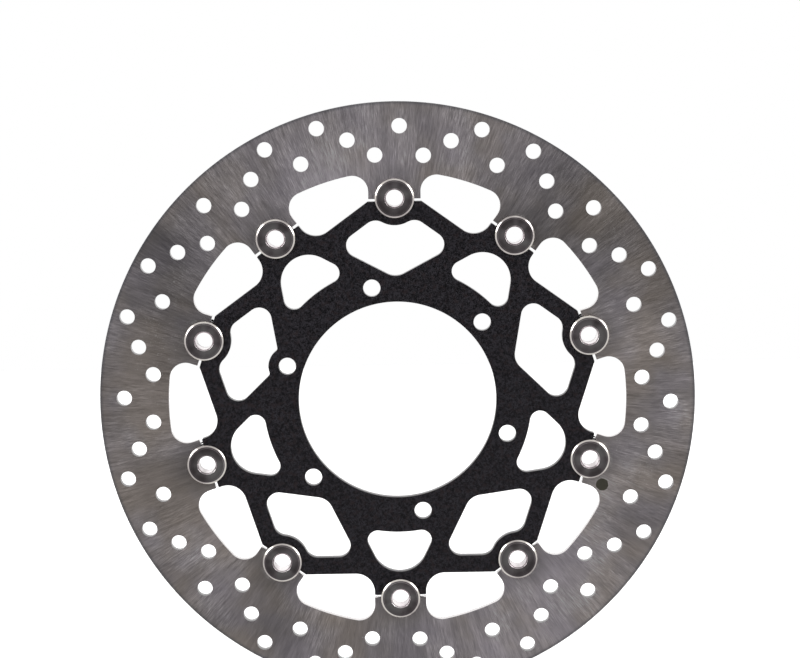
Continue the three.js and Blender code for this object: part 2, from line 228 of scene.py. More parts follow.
def crossing(p, p_angle, q, q_angle):
    """Where the lines from p and q meet, their directions given in degrees from X."""
    u = np.array([math.cos(rad(p_angle)), math.sin(rad(p_angle))])
    v = np.array([math.cos(rad(q_angle)), math.sin(rad(q_angle))])
    d = np.asarray(q, float)[:2] - np.asarray(p, float)[:2]
    t = (d[0] * v[1] - d[1] * v[0]) / (u[0] * v[1] - u[1] * v[0])
    return np.asarray(p, float)[:2] + u * t


def band_inner_edge():
    """Ten tabs with open seats, each drawn as half a tenth and mirrored, then turned."""
    root_x = TAB_HALF_W + TAB_ROOT_R
    root_z = math.sqrt((TRACK_INNER_R - TAB_ROOT_R) ** 2 - root_x**2)
    root_angle = math.degrees(math.atan2(root_x, root_z))
    half = np.vstack(
        [
            arc(0, BOBBIN_CIRCLE_R, SEAT_R, 0, 90),
            [[SEAT_R, TAB_END_R], [TAB_HALF_W, TAB_END_R]],
            arc(root_x, root_z, TAB_ROOT_R, 270, 360 + root_angle),
            arc(0, 0, TRACK_INNER_R, root_angle, HALF_STEP / 2)[1:],
        ]
    )
    tenth = np.vstack([mirrored(half)[1:], half[1:]])
    return np.vstack([turned(tenth, i * HALF_STEP) for i in range(BOBBIN_COUNT)])


def hole_at(angle, from_axis, radius):
    """A round hole whose centre is so far from the axis at a clock angle."""
    x, z = turned([[0, from_axis]], angle)[0]
    return circle(x, z, radius)


def drilled_holes():
    """Holes at equal turns, each at its own depth in from the outer edge."""
    count = len(DRILL_ORDER) * DRILL_REPEATS
    angles = DRILL_PHASE + np.arange(count) * 360.0 / count
    places = OUTER_R - DRILL_DEPTHS[np.resize(DRILL_ORDER, count)] * TRACK_W
    return [hole_at(angle, place, DRILL_R) for angle, place in zip(angles, places)]


def lug_end(half_width):
    """The open end of a lug: its two corners and between them the carrier's part of a seat."""
    rise = BOBBIN_CIRCLE_R - LUG_END_R
    lip = 90 + math.degrees(math.asin(rise / SEAT_R))
    return np.vstack(
        [
            [[-half_width, LUG_END_R, CORNER_R]],
            sharp(arc(0, BOBBIN_CIRCLE_R, SEAT_R, 360 - lip, lip)),
            [[half_width, LUG_END_R, CORNER_R]],
        ]
    )


def carrier_edge():
    """Wide and narrow lugs in turn, joined by straight arms."""
    arm_start = turned([[0, SHOULDER_R]], HALF_STEP)[0]
    wide_x = crossing([0, LUG_END_R], 0, arm_start, -HALF_STEP)[0]
    corners = []
    for i in range(BOBBIN_PAIRS):
        corners.append(turned(lug_end(wide_x), 2 * i * HALF_STEP))
        valley = [[LUG_HALF_W, SHOULDER_R, LUG_ROOT_R]]
        narrow = np.vstack([mirrored(valley), lug_end(LUG_HALF_W), valley])
        corners.append(turned(narrow, (2 * i + 1) * HALF_STEP))
    return rounded_loop(np.vstack(corners))


# The side corner of a wide window, the foot of its vee, and the slope of the web below it.
BIG_SIDE_R = (SHOULDER_R - ARM_W) / math.cos(rad(HALF_STEP - BIG_HALF_ANGLE))
BIG_SIDE = turned([[0, BIG_SIDE_R]], BIG_HALF_ANGLE)[0]
VEE_Z = HUB_RING_R - VEE_DROP
WEB_ANGLE = math.degrees(math.atan2(BIG_SIDE[1] - VEE_Z, BIG_SIDE[0]))


def wide_window(bossed):
    """The window under a wide lug, with a boss in its foot where a bolt hole stands there."""
    dip_r = SEAT_R + LUG_WALL
    dip = np.array([0, BOBBIN_CIRCLE_R - dip_r / math.cos(rad(DIP_ANGLE)), dip_r])
    hump = crossing(dip, DIP_ANGLE, BIG_SIDE, -HALF_STEP)
    free = hump[0] / math.cos(rad(DIP_ANGLE)) - dip_r * math.tan(rad(DIP_ANGLE))
    hump_r = HUMP_SHARE * free / math.tan(rad((DIP_ANGLE + HALF_STEP) / 2))
    right = np.array([[*hump, hump_r], [*BIG_SIDE, WIDE_SIDE_R]])
    bottom = np.array([[0, VEE_Z, WIDE_FOOT_R]])
    if bossed:
        crown_z = BOLT_CIRCLE_R + BOSS_R / math.cos(rad(BOSS_ANGLE))
        foot = crossing([0, crown_z], -BOSS_ANGLE, [0, VEE_Z], WEB_ANGLE)
        left = foot[0] / math.cos(rad(BOSS_ANGLE)) - BOSS_R * math.tan(rad(BOSS_ANGLE))
        foot_r = BOSS_FOOT_SHARE * left / math.tan(rad((BOSS_ANGLE + WEB_ANGLE) / 2))
        bottom = np.array(
            [[foot[0], foot[1], foot_r], [0, crown_z, BOSS_R], [-foot[0], foot[1], foot_r]]
        )
    return rounded_loop(np.vstack([[dip], right, bottom, mirrored(right)]))


def small_window():
    """The window under a narrow lug, its sides parallel to the webs beside it."""
    side_angle = 90 - HALF_STEP - WEB_ANGLE
    web_line = VEE_Z * math.cos(rad(WEB_ANGLE)) - WEB_W
    sine, cosine = math.sin(rad(side_angle)), math.cos(rad(side_angle))
    peak = web_line / sine
    top_r = (peak - WINDOW_TOP_R) / (1 / sine - 1)
    out = peak * sine - SMALL_CORNER_R
    along = math.sqrt((HUB_RING_R + SMALL_CORNER_R) ** 2 - out**2)
    corner_x = out * cosine - along * sine
    corner_z = out * sine + along * cosine
    ring_angle = math.degrees(math.atan2(corner_x, corner_z))
    half = np.vstack(
        [
            arc(0, peak - top_r / sine, top_r, 0, 90 - side_angle),
            arc(corner_x, corner_z, SMALL_CORNER_R, 90 - side_angle, 180 + ring_angle),
            arc(0, 0, HUB_RING_R, ring_angle, 0)[1:],
        ]
    )
    return np.vstack([half, mirrored(half)[1:-1]])


def carrier_holes():
    """The bore, the bolt holes and the windows, with the bossed window first."""
    phase = -2 * HALF_STEP
    bolt_angles = [phase + i * 360 / BOLT_COUNT for i in range(BOLT_COUNT)]
    bolts = [hole_at(angle, BOLT_CIRCLE_R, BOLT_HOLE_R) for angle in bolt_angles]
    windows = []
    for i in range(BOBBIN_PAIRS):
        angle = phase + 2 * i * HALF_STEP
        windows.append(turned(wide_window(i == 0), angle))
        windows.append(turned(small_window(), angle + HALF_STEP))
    return [circle(0, 0, BORE_R), *bolts, *windows]


# ---- meshes ------------------------------------------------------------------------


def piece_from(name, verts_mm, faces, smooth, uv=None):
    """A mesh object at the origin from millimetre vertices; uv has a pair per face corner."""
    mesh = bpy.data.meshes.new(name)
    mesh.from_pydata((np.asarray(verts_mm) * MM).tolist(), [], faces)
    mesh.polygons.foreach_set("use_smooth", smooth)
    if uv is not None:
        layer = mesh.uv_layers.new(name="surface")
        layer.data.foreach_set("uv", np.asarray(uv, np.float32).ravel())
    mesh.validate()
    mesh.update()
    piece = bpy.data.objects.new(name, mesh)
    bpy.context.scene.collection.objects.link(piece)
    return piece


def signed_area(loop):
    """Half the sum of x dz - z dx round the loop."""
    x, z = loop[:, 0], loop[:, 1]
    return 0.5 * float(np.sum(x * np.roll(z, -1) - z * np.roll(x, -1)))


def clean(loop):
    """The loop without points that repeat the one before."""
    gap = np.linalg.norm(loop - np.roll(loop, 1, axis=0), axis=1)
    return loop[gap > SAME_POINT]


def out_of_metal(loop):
    """Mitred normals: n = (a + b) / (1 + a.b), for the right-hand normals a and b of the
    edges that meet at a point, on loops that keep the metal on their left."""
    edge = np.roll(loop, -1, axis=0) - loop
    edge /= np.linalg.norm(edge, axis=1)[:, None]
    after = np.column_stack([edge[:, 1], -edge[:, 0]])
    before = np.roll(after, 1, axis=0)
    return (before + after) / (1 + np.sum(before * after, axis=1))[:, None]


def edge_profile(thickness, edge_r, steps):
    """Rows (inset, y) down a wall whose two rims are quarter rounds: inset = r (1 - sin t) and
    depth = r (1 - cos t) for t from 0 to 90 degrees, then the same back again."""
    t = np.linspace(0, math.pi / 2, steps + 1)
    inset, depth = edge_r * (1 - np.sin(t)), edge_r * (1 - np.cos(t))
    front = np.column_stack([inset, depth - thickness / 2])
    back = front[::-1] * [1, -1]
    return np.vstack([front, back])


def plate(name, loops, rims, thickness, middle_y, steps=3):
    """A flat plate from its outline and then its holes, each with its own rim radius: the edge
    profile carried along every loop, p(i, j) = loop_i - inset_j n_i at depth y_j, and the two
    faces filled between the loops' first and last rows."""
    verts, faces, front, ends = [], [], [], []
    base = 0
    for number, (loop, rim) in enumerate(zip(loops, rims)):
        profile = edge_profile(thickness, rim, steps)
        rows = len(profile)
        loop = clean(loop)
        if (signed_area(loop) > 0) != (number == 0):
            loop = loop[::-1]
        normal = out_of_metal(loop)
        count = len(loop)
        ring = loop[None] - profile[:, 0, None, None] * normal[None]
        y = np.broadcast_to(profile[:, 1, None] + middle_y, (rows, count))
        verts.append(np.stack([ring[..., 0], y, ring[..., 1]], axis=-1).reshape(-1, 3))
        j, i = np.meshgrid(np.arange(rows - 1), np.arange(count), indexing="ij")
        k = (i + 1) % count
        here, below = base + j * count, base + (j + 1) * count
        quads = np.stack([here + i, below + i, below + k, here + k], axis=-1)
        faces += quads.reshape(-1, 4).tolist()
        front.append(ring[0])
        first = base + np.arange(count)
        ends.append(np.stack([first, first + (rows - 1) * count]))
        base += rows * count
    smooth_count = len(faces)
    flat = np.vstack(front)
    top, bottom = np.hstack(ends)
    fill = np.array(tessellate_polygon([[Vector((x, z, 0)) for x, z in row] for row in front]))
    a, b, c = flat[fill[:, 0]], flat[fill[:, 1]], flat[fill[:, 2]]
    to_b, to_c = b - a, c - a
    twice = to_b[:, 0] * to_c[:, 1] - to_b[:, 1] * to_c[:, 0]
    fill[twice < 0] = fill[twice < 0][:, ::-1]
    faces += top[fill].tolist() + bottom[fill[:, ::-1]].tolist()
    smooth = np.arange(len(faces)) < smooth_count
    return piece_from(name, np.vstack(verts), faces, smooth)


def softened(profile, radius, steps=3):
    """A closed profile of (r, y) points with every corner cut back by at most radius and
    bridged by the parabola (1 - t)^2 a + 2 t (1 - t) corner + t^2 b."""
    p = np.asarray(profile, float)
    reach = np.minimum(
        np.linalg.norm(p - np.roll(p, 1, axis=0), axis=1),
        np.linalg.norm(np.roll(p, -1, axis=0) - p, axis=1),
    )
    out = []
    for i in range(len(p)):
        cut = min(radius, MOST_CUT * reach[i])
        a = p[i] + (p[i - 1] - p[i]) / np.linalg.norm(p[i - 1] - p[i]) * cut
        b = p[(i + 1) % len(p)] - p[i]
        b = p[i] + b / np.linalg.norm(b) * cut
        t = np.linspace(0, 1, steps + 1)[:, None]
        out.append((1 - t) ** 2 * a + 2 * t * (1 - t) * p[i] + t**2 * b)
    return np.vstack(out)


def revolved(name, profile, centre, sides, lift=None):
    """A closed profile (r, y) swept round an axis along Y: x = cx + r sin a, z = cz + r cos a,
    y = y + lift(a). Its UV map is the turn and the distance along the profile."""
    ring = np.asarray(profile)
    if signed_area(ring) > 0:
        ring = ring[::-1]
    rows = len(ring)
    a = np.arange(sides) * 2 * math.pi / sides
    rise = np.zeros(sides) if lift is None else lift(a)
    r = np.broadcast_to(ring[:, 0, None], (rows, sides))
    y = ring[:, 1, None] + rise[None]
    verts = np.stack([centre[0] + r * np.sin(a), y, centre[1] + r * np.cos(a)], axis=-1)
    j, i = np.meshgrid(np.arange(rows), np.arange(sides), indexing="ij")
    jn, k = (j + 1) % rows, (i + 1) % sides
    quads = np.stack([j * sides + i, j * sides + k, jn * sides + k, jn * sides + i], axis=-1)
    step = np.linalg.norm(np.roll(ring, -1, axis=0) - ring, axis=1)
    v = np.concatenate([[0], np.cumsum(step)])
    corner_u = np.stack([i, i + 1, i + 1, i], axis=-1) / sides
    corner_v = np.stack([v[j], v[j], v[j + 1], v[j + 1]], axis=-1)
    uv = np.stack([corner_u, corner_v], axis=-1)
    faces = quads.reshape(-1, 4).tolist()
    piece = piece_from(name, verts.reshape(-1, 3), faces, np.ones(len(faces), bool), uv)
    piece.data.set_sharp_from_angle(angle=rad(SHARP_ANGLE))
    return piece


# ---- materials ---------------------------------------------------------------------


class Finish:
    """A node material, with short calls for the nodes that make its pattern."""

    def __init__(self, name, **sockets):
        self.material = bpy.data.materials.new(name)
        self.material.use_nodes = True
        self.tree = self.material.node_tree
        self.tree.nodes.clear()
        self.shader = self.tree.nodes.new("ShaderNodeBsdfPrincipled")
        output = self.tree.nodes.new("ShaderNodeOutputMaterial")
        self.tree.links.new(self.shader.outputs[0], output.inputs["Surface"])
        for socket, value in sockets.items():
            self.shader.inputs[socket.replace("_", " ")].default_value = value

    def feed(self, socket, value):
        """Links the socket to another socket, or sets it to a number, vector or colour."""
        if isinstance(value, bpy.types.NodeSocket):
            self.tree.links.new(value, socket)
        else:
            socket.default_value = value

    def node(self, kind, values=(), out=0, **settings):
        """A node with its settings and its inputs fed from values; returns one output."""
        node = self.tree.nodes.new("ShaderNode" + kind)
        for key, value in settings.items():
            setattr(node, key, value)
        items = values.items() if isinstance(values, dict) else enumerate(values)
        for key, value in items:
            self.feed(node.inputs[key], value)
        return node.outputs[out]

    def math(self, operation, *values):
        return self.node("Math", values, operation=operation)

    def times(self, a, b):
        return self.math("MULTIPLY", a, b)

    def plus(self, a, b):
        return self.math("ADD", a, b)

    def minus(self, a, b):
        return self.math("SUBTRACT", a, b)

    def vector(self, operation, *values, out=0):
        return self.node("VectorMath", values, out=out, operation=operation)

    def scaled(self, vector, amount):
        return self.node("VectorMath", {0: vector, "Scale": amount}, operation="SCALE")

    def component(self, vector, number):
        """One part of a vector: 0 for X, 1 for Y and 2 for Z."""
        return self.node("SeparateXYZ", [vector], out=number)

    def noise(self, vector, scale, detail=2.0, roughness=0.5, distortion=0.0):
        values = {
            "Vector": vector,
            "Scale": scale,
            "Detail": detail,
            "Roughness": roughness,
            "Distortion": distortion,
        }
        return self.node("TexNoise", values)

    def ranged(self, value, from_min, from_max, to_min=0.0, to_max=1.0, smooth=False):
        """A value carried from one range to another, and held at the ends."""
        return self.node(
            "MapRange",
            [value, from_min, from_max, to_min, to_max],
            interpolation_type="SMOOTHSTEP" if smooth else "LINEAR",
        )

    def mixed(self, factor, a, b):
        """Colour a where factor is 0 and b where it is 1: a mix node's inputs 0, 6 and 7."""
        return self.node("Mix", {0: factor, 6: a, 7: b}, out=2, data_type="RGBA")

    def bump(self, height, distance, strength):
        values = {"Height": height, "Distance": distance, "Strength": strength}
        return self.node("Bump", values)

    def shows(self, **links):
        """Links the shader's sockets to the finished pattern and returns the material."""
        for socket, value in links.items():
            self.tree.links.new(value, self.shader.inputs[socket.replace("_", " ")])
        return self.material

    def object_point(self):
        return self.node("TexCoord", out="Object")

    def surface_map(self):
        return self.node("UVMap", uv_map="surface")


# Noise scales are per metre. Colours are linear red, green, blue and alpha.


def polar(f, point):
    """The point's place on the X-Z plane, its radius, and its clock angle from the top."""
    flat = f.vector("MULTIPLY", point, (1, 0, 1))
    radius = f.vector("LENGTH", flat, out="Value")
    clock = f.math("ARCTAN2", f.component(point, 0), f.component(point, 2))
    return flat, radius, clock


def ground_streaks(f, flat, radius, across, along, lean):
    """Noise drawn out along the radius: the direction from the axis, turned by lean times the
    radius, is scaled up so that it varies fast round the disc and slowly along the radius."""
    swirl = f.node(
        "VectorRotate",
        {"Vector": flat, "Axis": (0, 1, 0), "Angle": f.times(radius, lean)},
        rotation_type="AXIS_ANGLE",
    )
    around = f.scaled(f.vector("NORMALIZE", swirl), across)
    depth = f.node("CombineXYZ", [0.0, f.times(radius, along), 0.0])
    return f.noise(f.vector("ADD", around, depth), 1.0)


def line_mark(f, point, start, end, width):
    """1 on a thin straight mark from start to end, (x, z) in millimetres, fading at its sides."""
    a, b = np.array(start) * MM, np.array(end) * MM
    length = float(np.linalg.norm(b - a))
    d = (b - a) / length
    local = f.vector("SUBTRACT", point, (a[0], 0, a[1]))
    along = f.vector("DOT_PRODUCT", local, (d[0], 0, d[1]), out="Value")
    across = f.math("ABSOLUTE", f.vector("DOT_PRODUCT", local, (-d[1], 0, d[0]), out="Value"))
    thin = f.ranged(across, 0.0, width * MM, 1.0, 0.0)
    inside = f.times(f.math("GREATER_THAN", along, 0.0), f.math("LESS_THAN", along, length))
    return f.times(thin, inside)


def swing(f, clock, waves, phase):
    """A cosine wave round the disc: so many waves per turn, with its phase in degrees."""
    return f.math("COSINE", f.minus(f.times(clock, float(waves)), rad(phase)))


def from_nearest_seat(f, clock, radius):
    """Distance in metres from the axis of the nearest bobbin seat: the clock angle is taken
    from the nearest seat's, and the place is then r sin a aside and r cos a up."""
    tenth = f.math("DIVIDE", clock, rad(HALF_STEP))
    turn = f.times(f.minus(tenth, f.math("ROUND", tenth)), rad(HALF_STEP))
    side = f.times(f.math("SINE", turn), radius)
    up = f.minus(f.times(f.math("COSINE", turn), radius), BOBBIN_CIRCLE_R * MM)
    return f.math("POWER", f.plus(f.math("POWER", side, 2.0), f.math("POWER", up, 2.0)), 0.5)


def wall_and_rim(f):
    """Two shares read from the face's own direction: 1 on walls, and 1 on the rims beside."""
    steep = f.math("ABSOLUTE", f.component(f.node("NewGeometry", out="True Normal"), 1))
    wall = f.ranged(steep, 0.06, 0.16, 1.0, 0.0)
    off_flat = f.ranged(steep, 0.75, 0.97, 1.0, 0.0)
    return wall, f.minus(off_flat, wall)


def ground_faces(f, flat, radius, clock):
    """Crossed grinding streaks with brushed patches, a painted highlight towards the top and
    faint tints; the streaks, the colour.
    """
    deep, pale = (0.46, 0.422, 0.437, 1), (0.74, 0.688, 0.707, 1)
    fleck, lustre = (1.0, 0.95, 0.96, 1), (0.95, 0.89, 0.91, 1)
    shaded, straw, bluish = (0.34, 0.315, 0.31, 1), (0.6, 0.5, 0.38, 1), (0.49, 0.46, 0.58, 1)
    fine = ground_streaks(f, flat, radius, 640.0, 230.0, 0.2)
    crossed = ground_streaks(f, flat, radius, 180.0, 62.0, -0.35)
    broad = ground_streaks(f, flat, radius, 26.0, 16.0, 0.4)
    streak = f.plus(f.times(fine, 0.6), f.times(crossed, 0.4))

    # the brushing is strongest in patches, and a painted highlight makes it stronger towards the
    # top
    patches_and_top_highlight = f.plus(f.noise(flat, 34.0), f.times(f.math("COSINE", clock), 0.035))
    contrast = f.times(f.minus(streak, 0.5), f.ranged(patches_and_top_highlight, 0.36, 0.66, 0.4, 1.5))
    colour = f.mixed(f.ranged(contrast, -0.12, 0.13), deep, pale)
    brushed_and_top_highlight = f.ranged(patches_and_top_highlight, 0.46, 0.62, 0.05, 1.0)
    colour = f.mixed(f.times(f.ranged(fine, 0.55, 0.66), brushed_and_top_highlight), colour, fleck)
    colour = f.mixed(f.times(f.ranged(broad, 0.34, 0.66), 0.42), colour, shaded)
    colour = f.mixed(f.times(brushed_and_top_highlight, 0.22), colour, lustre)

    tint = f.noise(f.vector("ADD", flat, (0.31, 0.0, 0.17)), 30.0)
    tint = f.plus(tint, f.times(swing(f, clock, 2, 148), 0.09))
    colour = f.mixed(f.ranged(tint, 0.47, 0.66, 0.0, 0.36), colour, straw)
    colour = f.mixed(f.ranged(tint, 0.5, 0.32, 0.0, 0.26), colour, bluish)
    return streak, colour


def painted_ring_sheen(f, flat, clock):
    """A painted sheen round the ground ring: its brightness from cosines of the clock angle, and
    a slow noise.
    """
    waves_crest_height = ((1, 135, 0.7), (2, 160, 0.75), (3, 115, 0.55), (4, 75, 0.5))
    sheen_waves = 0.0
    for waves, crest, height in waves_crest_height:
        sheen_waves = f.plus(sheen_waves, f.times(swing(f, clock, waves, waves * crest), height))
    drift = f.plus(sheen_waves, f.ranged(f.noise(flat, 19.0), 0.33, 0.67, -1.1, 1.1))
    return f.ranged(drift, -2.5, 2.5, 0.56, 1.62)


def marks_and_flange_reflection(f, point, flat, from_bobbin):
    """A painted reflection of each flange on the band round it, a few thin scratches, bright
    specks and patches of dust.
    """
    # painted reflection: a bright broken ring on the band just outside each flange
    ring = f.ranged(from_bobbin, 0.0103, 0.0122, 1.0, 0.0)
    flange_reflection = f.times(ring, f.ranged(f.noise(point, 190.0, 2.0, 0.6), 0.56, 0.68, 0.0, 0.5))
    scratches = [
        line_mark(f, point, (100.6, -39.2), (113.5, -46.6), 0.22),
        line_mark(f, point, (119.0, -44.5), (128.5, -49.4), 0.16),
        line_mark(f, point, (74.0, -101.5), (79.5, -108.5), 0.2),
        line_mark(f, point, (22.6, 118.8), (25.4, 128.0), 0.2),
    ]
    cells = f.node("TexVoronoi", {"Vector": point, "Scale": 42.0}, out="Distance")
    specks = f.ranged(cells, 0.012, 0.022, 0.55, 0.0)
    dusty = f.ranged(f.noise(f.vector("ADD", flat, (0.0, 0.0, 0.9)), 21.0), 0.52, 0.66)
    dust = f.times(f.ranged(f.noise(point, 1100.0, 2.0, 0.6), 0.6, 0.72, 0.0, 0.6), dusty)
    light = flange_reflection
    for mark in [*scratches, specks, dust]:
        light = f.math("MAXIMUM", light, mark)
    return light


def paint_dot(f, point, flat):
    """1 on the small round dot of paint on the front face, with a slightly uneven edge."""
    centre = (0.1063, 0.0, -0.0463)
    uneven = f.ranged(f.noise(point, 520.0), 0.3, 0.7, -0.00018, 0.00018)
    out = f.plus(f.vector("DISTANCE", flat, centre, out="Value"), uneven)
    front = f.math("LESS_THAN", f.component(point, 1), 0.0)
    return f.times(f.ranged(out, 0.0031, 0.0035, 1.0, 0.0), front)


def ground_steel():
    """Stainless band ground across its faces: radial streaks, faint tints and handling marks,
    with painted light: a painted sheen, painted shade and a painted reflection round each flange,
    and walls and rims painted brighter or darker.
    """
    flange_shade, bare_metal = (0.3, 0.285, 0.285, 1), (1.0, 0.99, 0.98, 1)
    wall_highlight, edge_shade = (0.92, 0.9, 0.9, 1), (0.12, 0.116, 0.12, 1)
    edge_grey, paint = (0.24, 0.25, 0.28, 1), (0.036, 0.033, 0.02, 1)
    shade_from_r, shade_to_r = 0.0105, 0.021
    drilled_from_r, margin_from_r, margin_to_r = 0.121, 0.1528, 0.1549
    f = Finish("ground_stainless", Metallic=1.0)
    point = f.object_point()
    flat, radius, clock = polar(f, point)
    streak, colour = ground_faces(f, flat, radius, clock)
    # the colour scaled by a painted sheen round the disc
    colour = f.scaled(colour, painted_ring_sheen(f, flat, clock))
    from_bobbin = from_nearest_seat(f, clock, radius)
    # painted shade: the band darker round each bobbin's flange, fading outwards
    shade_round_flange = f.ranged(from_bobbin, shade_from_r, shade_to_r, 0.34, 0.0, smooth=True)
    colour = f.mixed(shade_round_flange, colour, flange_shade)
    colour = f.mixed(marks_and_flange_reflection(f, point, flat, from_bobbin), colour, bare_metal)

    # painted light by the face's direction: the inner edge's walls are painted bright as a
    # highlight; drilled walls, the outer wall and rims are painted darker as shade
    wall, rim = wall_and_rim(f)
    drilled_wall = f.times(wall, f.math("GREATER_THAN", radius, drilled_from_r))
    colour = f.mixed(wall, colour, wall_highlight)
    colour = f.mixed(f.times(f.math("MAXIMUM", drilled_wall, rim), 0.85), colour, edge_shade)
    margin = f.ranged(radius, margin_from_r, margin_to_r, 0.0, 0.6, smooth=True)
    colour = f.mixed(margin, colour, edge_grey)

    painted = paint_dot(f, point, flat)
    colour = f.mixed(painted, colour, paint)
    bare = f.ranged(painted, 0.0, 1.0, 1.0, 0.0)
    rough = f.plus(f.ranged(streak, 0.35, 0.65, 0.46, 0.6), f.times(painted, 0.12))
    rough = f.minus(rough, f.times(wall, 0.28))
    relief = f.bump(f.times(streak, bare), 0.00003, 0.5)
    return f.shows(Base_Color=colour, Metallic=bare, Roughness=rough, Normal=relief)


def black_anodised():
    """Fine-blasted aluminium under black anodising: a dark satin with a mottled grain, and
    painted shade on its rims.
    """
    pit, satin = (0.004, 0.0034, 0.0052, 1), (0.0345, 0.0312, 0.0395, 1)
    brownish, rim_shade = (0.03, 0.019, 0.021, 1), (0.004, 0.004, 0.004, 1)
    f = Finish("black_anodised", Metallic=0.35, Specular_IOR_Level=0.45)
    point = f.object_point()
    grain = f.noise(point, 1900.0, 3.0, 0.65)
    mottle = f.noise(point, 820.0, 2.0, 0.6)
    both = f.plus(f.times(grain, 0.6), f.times(mottle, 0.4))
    colour = f.mixed(f.ranged(both, 0.43, 0.58), pit, satin)
    warm = f.ranged(f.noise(point, 380.0, 1.0), 0.52, 0.72, 0.0, 0.6)
    colour = f.mixed(warm, colour, brownish)
    wall, rim = wall_and_rim(f)
    # painted shade: the rounded rims darker than the faces and walls
    colour = f.mixed(f.times(rim, 0.7), colour, rim_shade)
    rough = f.plus(f.ranged(both, 0.35, 0.65, 0.4, 0.56), f.times(rim, 0.36))
    rough = f.minus(rough, f.times(wall, 0.3))
    return f.shows(Base_Color=colour, Roughness=rough, Normal=f.bump(both, 0.00006, 0.55))


def polished_sleeve():
    """Turned and polished steel: fine rings from the tool, fans of painted reflection, a painted
    highlight near the bore and a painted highlight on the rim.
    """
    pale_film, deep_film = (0.9, 0.81, 0.85, 1), (0.63, 0.56, 0.59, 1)
    dark_reflection_fan, bright_reflection_fan = (0.25, 0.215, 0.22, 1), (1.0, 0.97, 0.97, 1)
    dish, bore_highlight = (0.43, 0.38, 0.395, 1), (1.0, 0.95, 0.96, 1)
    rim_highlight = (1.0, 0.955, 0.89, 1)
    dish_from_r, dish_to_r = (BOBBIN_BORE_R + 1.5) * MM, (FLANGE_R - 1.4) * MM
    rim_from_r, rim_to_r = (FLANGE_R - 0.9) * MM, (FLANGE_R - 0.65) * MM
    f = Finish("polished_sleeve", Metallic=1.0, Anisotropic=0.45)
    uv = f.surface_map()
    rings = f.noise(f.vector("MULTIPLY", uv, (1.5, 9.0, 1.0)), 1.0, 3.0, 0.7)
    point = f.object_point()
    film = f.noise(point, 170.0, 2.0, 0.55, 0.6)
    colour = f.mixed(f.ranged(film, 0.38, 0.62), pale_film, deep_film)

    # the fans are painted reflections, a pattern of the turn alone, different at each seat
    turn = f.times(f.component(uv, 0), 2 * math.pi)
    spoke = f.node("CombineXYZ", [f.math("SINE", turn), 0.0, f.math("COSINE", turn)])
    seat = f.vector("MULTIPLY", point, (9.0, 0.0, 9.0))
    wide_spoke = f.vector("MULTIPLY", spoke, (0.8, 0.8, 0.8))
    reflection_fans = f.noise(f.vector("ADD", wide_spoke, seat), 1.0, 1.0, 0.6)
    colour = f.mixed(f.ranged(reflection_fans, 0.38, 0.5, 0.75, 0.0), colour, dark_reflection_fan)
    colour = f.mixed(f.ranged(reflection_fans, 0.5, 0.62), colour, bright_reflection_fan)

    _, radius, clock = polar(f, point)
    out = from_nearest_seat(f, clock, radius)
    toward_rim = f.ranged(out, dish_from_r, dish_to_r, 0.0, 0.5)
    colour = f.mixed(toward_rim, colour, dish)
    # painted highlight: a lighter ring near the bore
    colour = f.mixed(f.ranged(toward_rim, 0.0, 0.25, 0.3, 0.0), colour, bore_highlight)
    # painted highlight: a bright line on the rim, stronger where the painted fans are bright
    rim = f.times(f.ranged(out, rim_from_r, rim_to_r), f.ranged(reflection_fans, 0.4, 0.56, 0.45, 1.0))
    colour = f.mixed(rim, colour, rim_highlight)
    rough = f.plus(f.ranged(rings, 0.3, 0.7, 0.08, 0.16), f.ranged(film, 0.38, 0.62, 0.0, 0.1))
    tangent = f.node("Tangent", direction_type="UV_MAP", uv_map="surface")
    relief = f.bump(rings, 0.00001, 0.5)
    return f.shows(Base_Color=colour, Roughness=rough, Normal=relief, Tangent=tangent)


def plated_washer():
    """Zinc-plated flat washer with a soft mottled bloom."""
    zinc, bloomed = (0.38, 0.385, 0.4, 1), (0.56, 0.56, 0.56, 1)
    f = Finish("plated_washer", Metallic=1.0)
    bloom = f.noise(f.object_point(), 420.0, 3.0, 0.6)
    colour = f.mixed(f.ranged(bloom, 0.35, 0.65), zinc, bloomed)
    rough = f.ranged(bloom, 0.35, 0.65, 0.28, 0.44)
    return f.shows(Base_Color=colour, Roughness=rough, Normal=f.bump(bloom, 0.00002, 0.4))


def spring_strip():
    """Rolled spring steel, faintly straw-coloured from tempering, with rolling lines round it."""
    deep, pale, straw = (0.25, 0.24, 0.225, 1), (0.4, 0.385, 0.36, 1), (0.34, 0.26, 0.15, 1)
    f = Finish("spring_strip", Metallic=1.0)
    lines = f.noise(f.vector("MULTIPLY", f.surface_map(), (2.0, 12.0, 1.0)), 1.0, 2.0, 0.6)
    temper = f.noise(f.object_point(), 150.0, 1.0)
    colour = f.mixed(f.ranged(lines, 0.3, 0.7), deep, pale)
    colour = f.mixed(f.ranged(temper, 0.45, 0.7, 0.0, 0.45), colour, straw)
    rough = f.ranged(lines, 0.3, 0.7, 0.24, 0.36)
    return f.shows(Base_Color=colour, Roughness=rough, Normal=f.bump(lines, 0.00001, 0.4))


def phosphated_clip():
    """Black phosphated spring steel with a dry, crystalline grain."""
    black, greyed = (0.018, 0.018, 0.02, 1), (0.055, 0.053, 0.052, 1)
    f = Finish("phosphated_clip", Metallic=0.6)
    grain = f.noise(f.object_point(), 2200.0, 3.0, 0.6)
    colour = f.mixed(f.ranged(grain, 0.35, 0.65), black, greyed)
    rough = f.ranged(grain, 0.35, 0.65, 0.4, 0.58)
    return f.shows(Base_Color=colour, Roughness=rough, Normal=f.bump(grain, 0.00004, 0.5))


